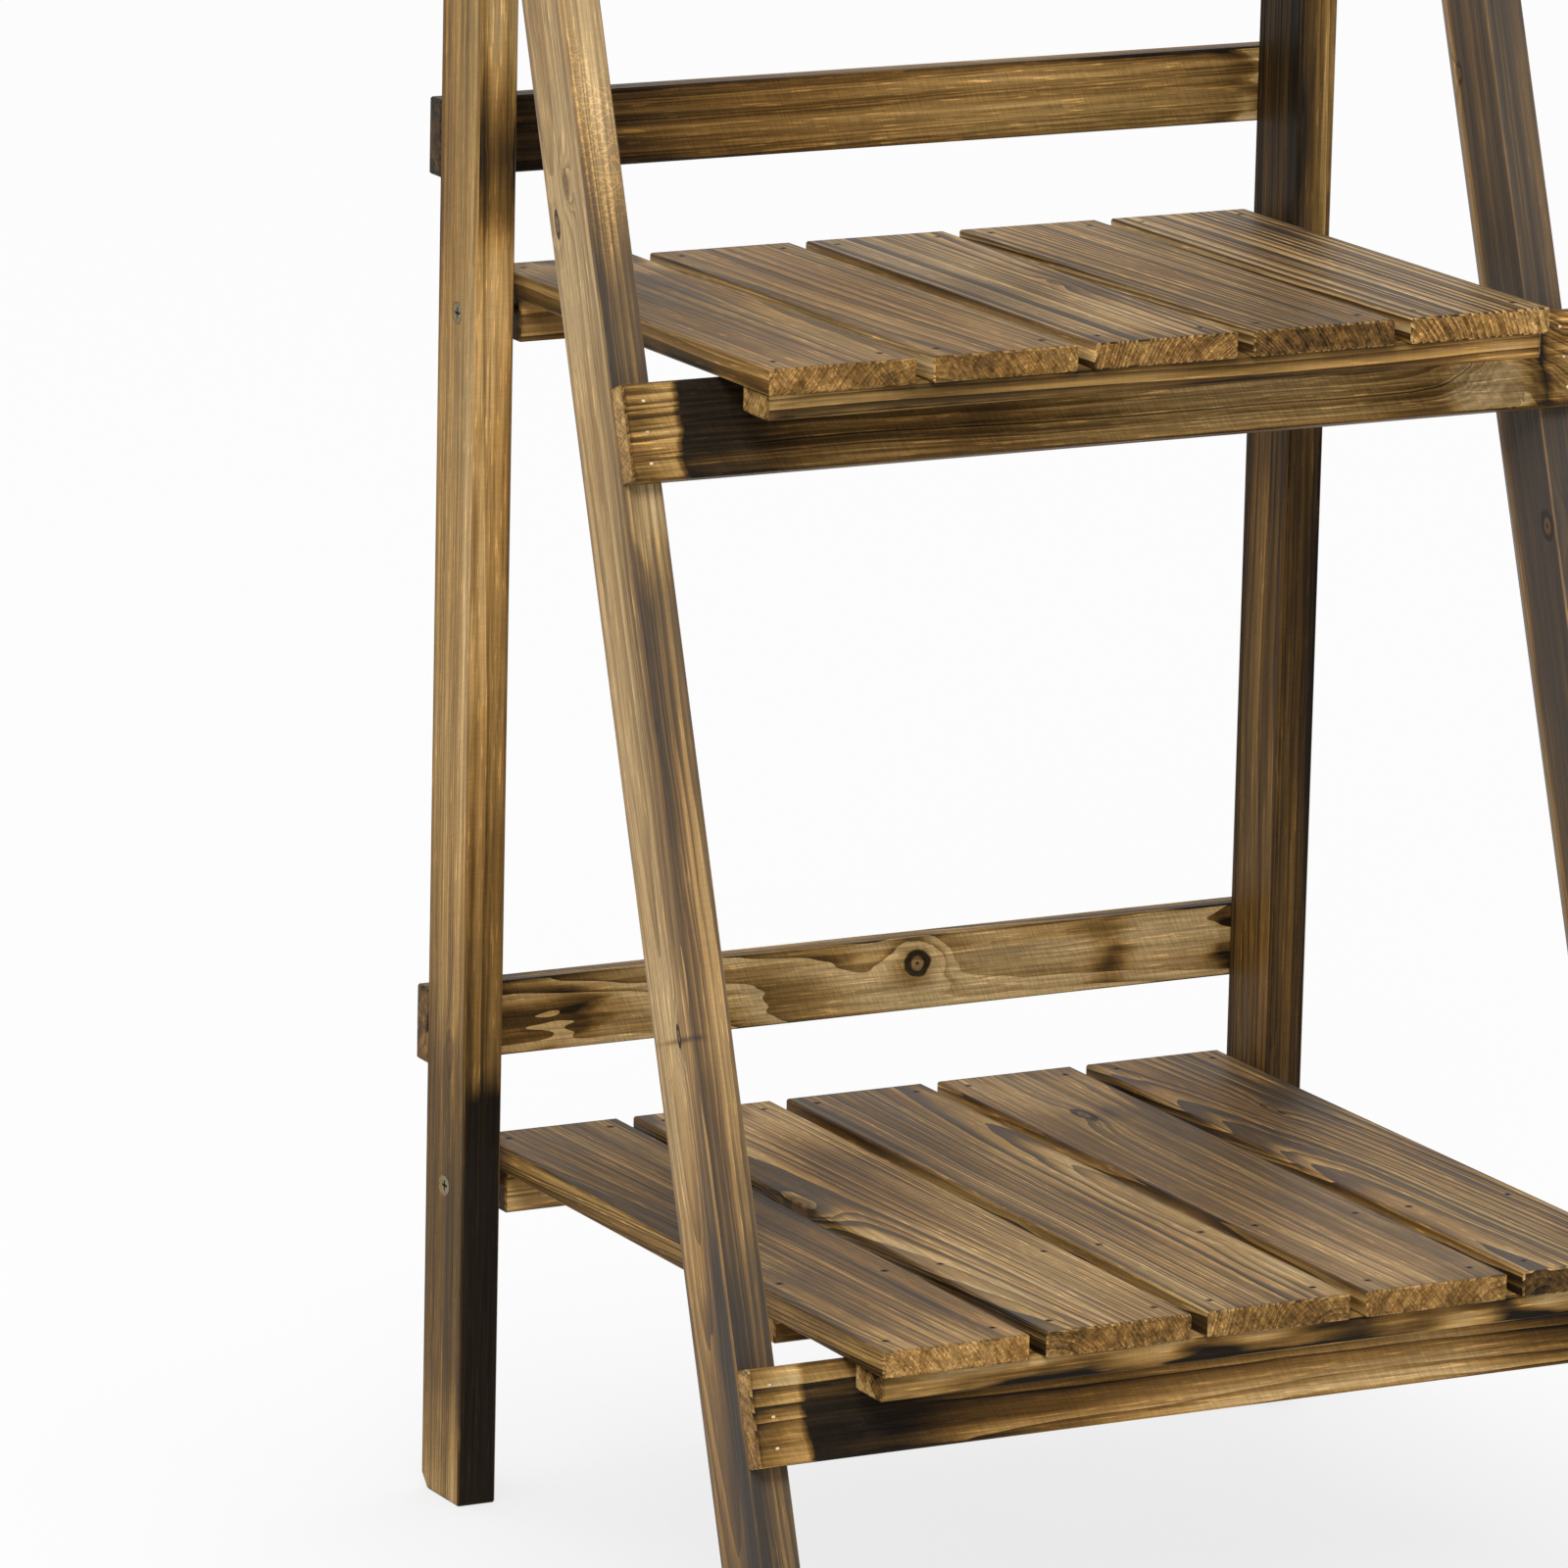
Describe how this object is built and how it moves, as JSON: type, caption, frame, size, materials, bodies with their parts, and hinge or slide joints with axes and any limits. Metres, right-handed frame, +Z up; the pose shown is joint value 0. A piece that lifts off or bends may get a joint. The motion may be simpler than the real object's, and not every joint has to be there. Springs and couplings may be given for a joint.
{
  "type": "folding plant stand",
  "caption": "Folding A-frame plant stand of charred and brushed fir: hinged legs, slatted shelves on screw pivots that swing up so the frames close flat.",
  "frame": {"origin": "on the floor, under the middle of the standing object's box", "axes": "+X to the right seen from the front, -Y to the front, +Z up"},
  "size_m": [0.498, 0.4247, 1.1267],
  "materials": {
    "legs": "torched and brushed fir, clear sealed",
    "rails": "torched and brushed fir, clear sealed",
    "slats": "torched and brushed fir, clear sealed",
    "battens": "torched and brushed fir, clear sealed",
    "nails": "galvanised",
    "screws": "zinc plated",
    "zinc_hardware": "zinc plated"
  },
  "bodies": {
    "rear_frame": {"rear_post_left": "legs", "rear_post_right": "legs", "rear_rail_low": "rails", "rear_rail_mid": "rails", "rear_rail_top": "rails", "rear_rail_nails": "nails", "pivot_bolts": "zinc_hardware", "spacer_washers": "zinc_hardware", "nut_washers": "zinc_hardware", "pivot_nuts": "zinc_hardware"},
    "front_frame": {"front_leg_left": "legs", "front_leg_right": "legs", "front_rail_low": "rails", "front_rail_mid": "rails", "front_rail_top": "rails", "front_rail_nails": "nails"},
    "low_shelf": {"low_slat_1": "slats", "low_slat_2": "slats", "low_slat_3": "slats", "low_slat_4": "slats", "low_slat_5": "slats", "low_rear_batten": "battens", "low_front_batten": "battens", "low_middle_batten": "battens", "low_slat_nails": "nails", "low_pivot_screws": "screws"},
    "mid_shelf": {"mid_slat_1": "slats", "mid_slat_2": "slats", "mid_slat_3": "slats", "mid_slat_4": "slats", "mid_slat_5": "slats", "mid_rear_batten": "battens", "mid_front_batten": "battens", "mid_slat_nails": "nails", "mid_pivot_screws": "screws"},
    "top_shelf": {"top_slat_1": "slats", "top_slat_2": "slats", "top_slat_3": "slats", "top_slat_4": "slats", "top_slat_5": "slats", "top_rear_batten": "battens", "top_front_batten": "battens", "top_slat_nails": "nails", "top_pivot_screws": "screws"}
  },
  "joints": [
    {"name": "front_fold", "type": "hinge", "parent": "rear_frame", "child": "front_frame", "pos_m": [0, 0.16793, 1.096], "axis": [1, 0, 0], "range_deg": [0, 18.4]},
    {"name": "low_shelf_fold", "type": "hinge", "parent": "rear_frame", "child": "low_shelf", "pos_m": [0, 0.18111, 0.152], "axis": [-1, 0, 0], "range_deg": [0, 88]},
    {"name": "mid_shelf_fold", "type": "hinge", "parent": "rear_frame", "child": "mid_shelf", "pos_m": [0, 0.17531, 0.5675], "axis": [-1, 0, 0], "range_deg": [0, 88]},
    {"name": "top_shelf_fold", "type": "hinge", "parent": "rear_frame", "child": "top_shelf", "pos_m": [0, 0.1695, 0.983], "axis": [-1, 0, 0], "range_deg": [0, 88]}
  ]
}
